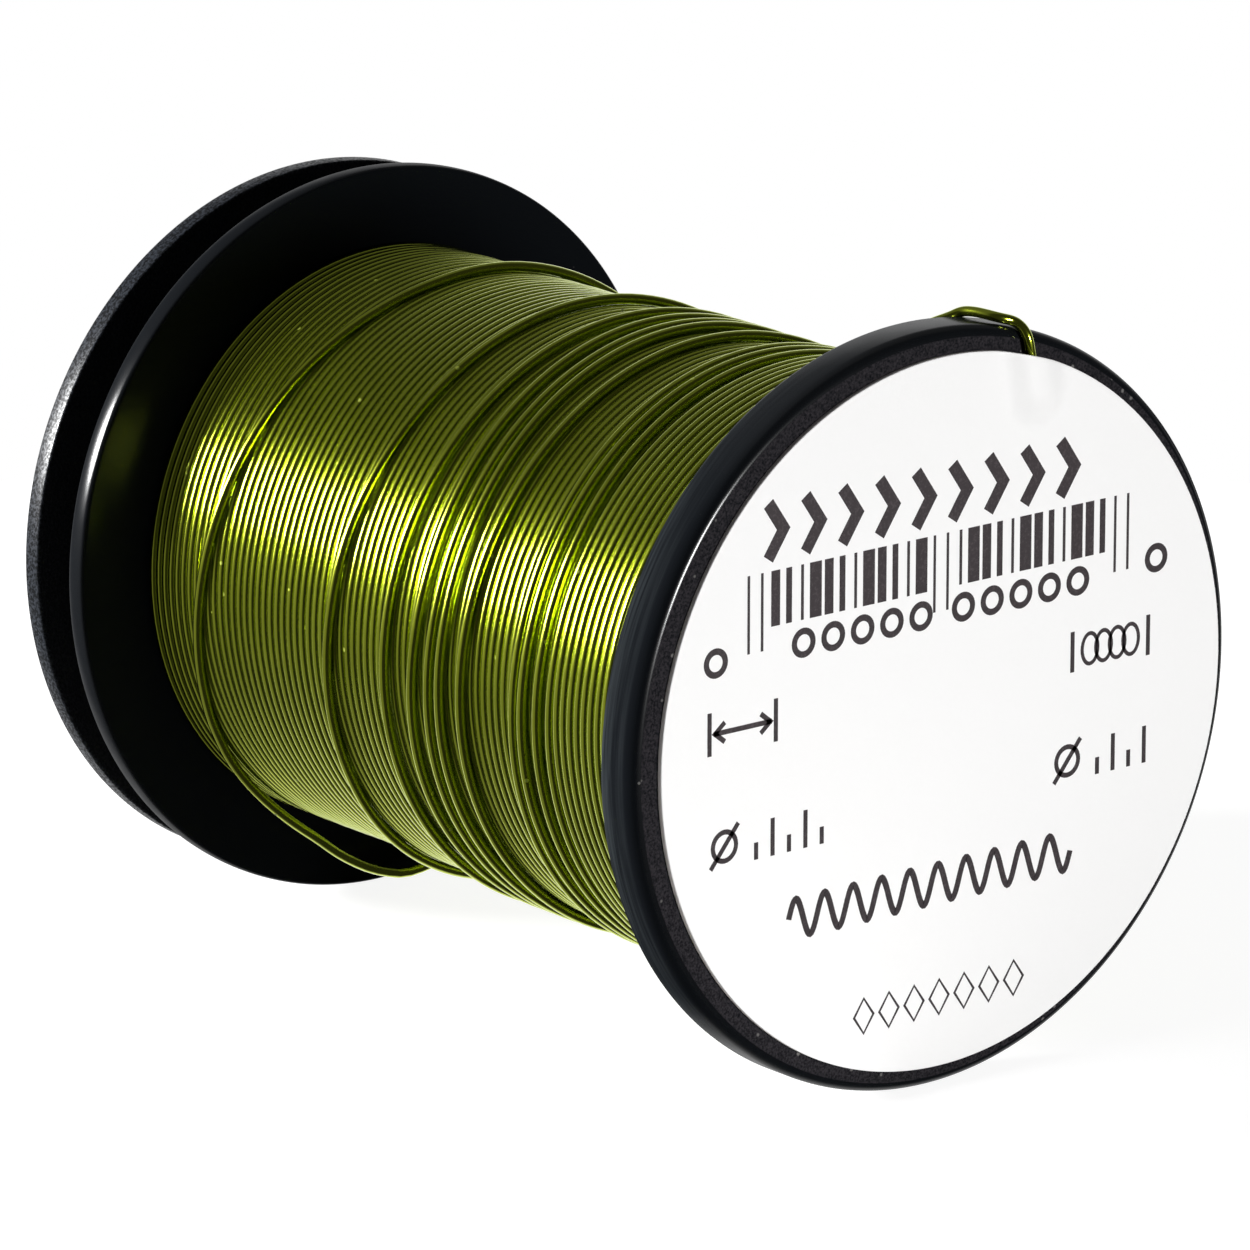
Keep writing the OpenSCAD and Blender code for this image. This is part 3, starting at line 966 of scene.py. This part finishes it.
def loopStroke(x, z, size, width, sides=labelPrint["loopSides"]):
    # the same ribbon, closed round a point: its middle is at (size x * cos(angle), size z * sin(angle)), and
    # four sides make a lozenge
    a = (np.arange(sides) * 2 * pi / sides)[:, None]
    grow = np.array([width / 2, -width / 2, -width / 2, width / 2])[None, :]
    depth = np.broadcast_to([inkFront, inkFront, inkBack, inkBack], (sides, 4))
    rings = np.stack([x + (size[0] + grow) * np.cos(a), depth, z + (size[1] + grow) * np.sin(a)], -1)
    return rings.reshape(-1, 3), [gridFaces(sides, 4, True, True)]


def inRow(marks, start=None):
    # where the marks of a row are, from its start on
    start = marks["from"] if start is None else start
    return [start + k * marks["pitch"] for k in range(marks["count"])]


def makeLabelPrint():
    shells = []
    c = labelPrint["chevrons"]
    middle = (c["low"] + c["high"]) / 2
    for x in inRow(c):
        shells.append(stroke([(x, c["low"]), (x + c["reach"], middle), (x, c["high"])], c["stroke"]))
    c = labelPrint["comb"]
    for k, x in enumerate(inRow(c)):
        # four widths take turns between the long thin guards
        low, wide = c["low"], c["narrowest"] + c["wider"] * (k * 7 % 4)
        if k in c["guards"]:
            low, wide = c["guardLow"], c["guardWide"]
        shells.append(stroke([(x, low), (x, c["top"])], wide))
    c = labelPrint["beads"]
    beads = [(x, c["middle"]) for start in c["from"] for x in inRow(c, start)]
    shells += [loopStroke(x, z, c["size"], c["stroke"]) for x, z in beads + c["apart"]]
    c = labelPrint["wave"]
    x = np.linspace(c["from"], c["to"], c["steps"] * c["count"])
    z = c["middle"] + c["height"] * np.sin(2 * pi * c["count"] * (x - c["from"]) / (c["to"] - c["from"]))
    shells.append(stroke(np.stack([x, z], -1), c["stroke"]))
    c = labelPrint["lozenges"]
    shells += [loopStroke(x, c["middle"], c["size"], c["stroke"], 4) for x in inRow(c)]
    width = labelPrint["stroke"]
    shells += [stroke(points, width) for points in labelPrint["lines"]]
    c = labelPrint["coil"]
    shells += [loopStroke(x, c["middle"], c["size"], c["stroke"]) for x in inRow(c)]
    c = labelPrint["sections"]
    dx, dz = c["lineReach"]
    for x, z, ticks in c["places"]:
        shells.append(loopStroke(x, z, c["size"], width))
        shells.append(stroke([(x - dx, z - dz), (x + dx, z + dz)], width))
        for k in range(ticks):
            tickX = x + c["tickFrom"] + c["tickPitch"] * k
            shells.append(stroke([(tickX, z + c["tickLow"]), (tickX, z + c["tickHigh"][k % 2])], width))
    addPiece("labelInk", shells, inkFinish, "spool", [], sharp=30)


makeLabel()
makeLabelPrint()


stage = {
    "floorR": 60.0,
    "floorSides": 96,
    "floorDrop": 0.02,  # under the spool
    "floorPaper": 0.60,
    "floorThin": 0.30,
    "floorGlow": 0.90,
    "key": {"place": (-256.0, 216.0, 104.5), "size": (100.0, 115.0), "power": 3.8},
    "front": {"place": (49.0, -345.0, 17.5), "size": (60.0, 60.0), "power": 0.98},
    "backdrop": (0.632, 0.775, -0.45),  # its middle is behind the object, and it spreads below
    "backdropEdge": (0.5, 0.9),
    "backdropGlow": 1.0,
    "wall": (-0.30, 0.05),  # from the front of the room to its back
    "wallGlow": 0.11,
    "table": (0.05, -0.10),  # below the horizon
    "tableGlow": 0.12,  # over the wall's
    "room": 0.03,
}


def grey(value):
    return value, value, value, 1


def makeFloor():
    # to the camera the floor is white, under a thin coat that takes the shadow; gloss and glass see the
    # backdrop's white and the room through it, and all other light meets pale paper
    finish, s = newFinish("floorWhite")
    ray = s.node("ShaderNodeLightPath")
    mirrored = ray.beside("Is Glossy Ray") + ray.beside("Is Transmission Ray")
    paper = s.node("ShaderNodeBsdfDiffuse", inputs={"Color": grey(stage["floorPaper"])})
    thin = s.node("ShaderNodeBsdfDiffuse", inputs={"Color": grey(stage["floorThin"])})
    glow = s.node("ShaderNodeEmission", inputs={"Color": grey(1), "Strength": stage["floorGlow"]})
    white = s.node("ShaderNodeAddShader", inputs={0: thin, 1: glow})
    clear = s.node("ShaderNodeBsdfTransparent")
    other = s.node("ShaderNodeMixShader", inputs={0: mirrored, 1: paper, 2: clear})
    shader = s.node("ShaderNodeMixShader", inputs={0: ray.beside("Is Camera Ray"), 1: other, 2: white})
    s.node("ShaderNodeOutputMaterial", inputs={"Surface": shader})
    sides = stage["floorSides"]
    a = np.arange(sides) * 2 * pi / sides
    ring = np.stack([stage["floorR"] * np.cos(a), stage["floorR"] * np.sin(a), 0 * a], -1)
    ring[:, 2] -= flangeR + stage["floorDrop"]
    mesh = bpy.data.meshes.new("floor")
    mesh.from_pydata((ring * mm).tolist(), [], [list(range(sides))])
    mesh.materials.append(finish)
    newObject("floor", mesh)


def makeLamp(name, lamp):
    data = bpy.data.lights.new(name, "AREA")
    data.shape = "ELLIPSE"
    data.size, data.size_y = lamp["size"][0] * mm, lamp["size"][1] * mm
    data.energy = lamp["power"]
    made = newObject(name, data)
    made.location = Vector(lamp["place"]) * mm
    made.rotation_mode = "QUATERNION"
    made.rotation_quaternion = made.location.to_track_quat("Z", "Y")
    made.visible_camera = False


def makeWorld():
    # white to the camera everywhere; the object itself, by gloss and glass too, sees a dim room in front, a
    # paler one behind, and the white backdrop
    world = bpy.data.worlds.new("studio")
    world.use_nodes = True
    s = Shader(world.node_tree)
    seen = s.node("ShaderNodeLightPath", out="Is Camera Ray")
    x, y, z = s.parts(s.node("ShaderNodeTexCoord", out="Generated"))
    bx, by, bz = stage["backdrop"]
    near = s.ramp(x * bx + y * by + bz * z, *stage["backdropEdge"])
    table = stage["tableGlow"] * s.ramp(z, *stage["table"])
    behind = s.ramp(y, *stage["wall"]) * (stage["wallGlow"] + table)
    light = stage["room"] + behind + stage["backdropGlow"] * near
    strength = s.node("ShaderNodeMix", {"data_type": "FLOAT"}, {0: seen, 2: light, 3: 1.0})
    white = s.node("ShaderNodeBackground", inputs={"Color": grey(1), "Strength": strength})
    s.node("ShaderNodeOutputWorld", inputs={"Surface": white})
    bpy.context.scene.world = world


makeFloor()
makeLamp("keyLamp", stage["key"])
makeLamp("frontLamp", stage["front"])
makeWorld()
bpy.context.scene.view_settings.view_transform = "Standard"
print("stage set")
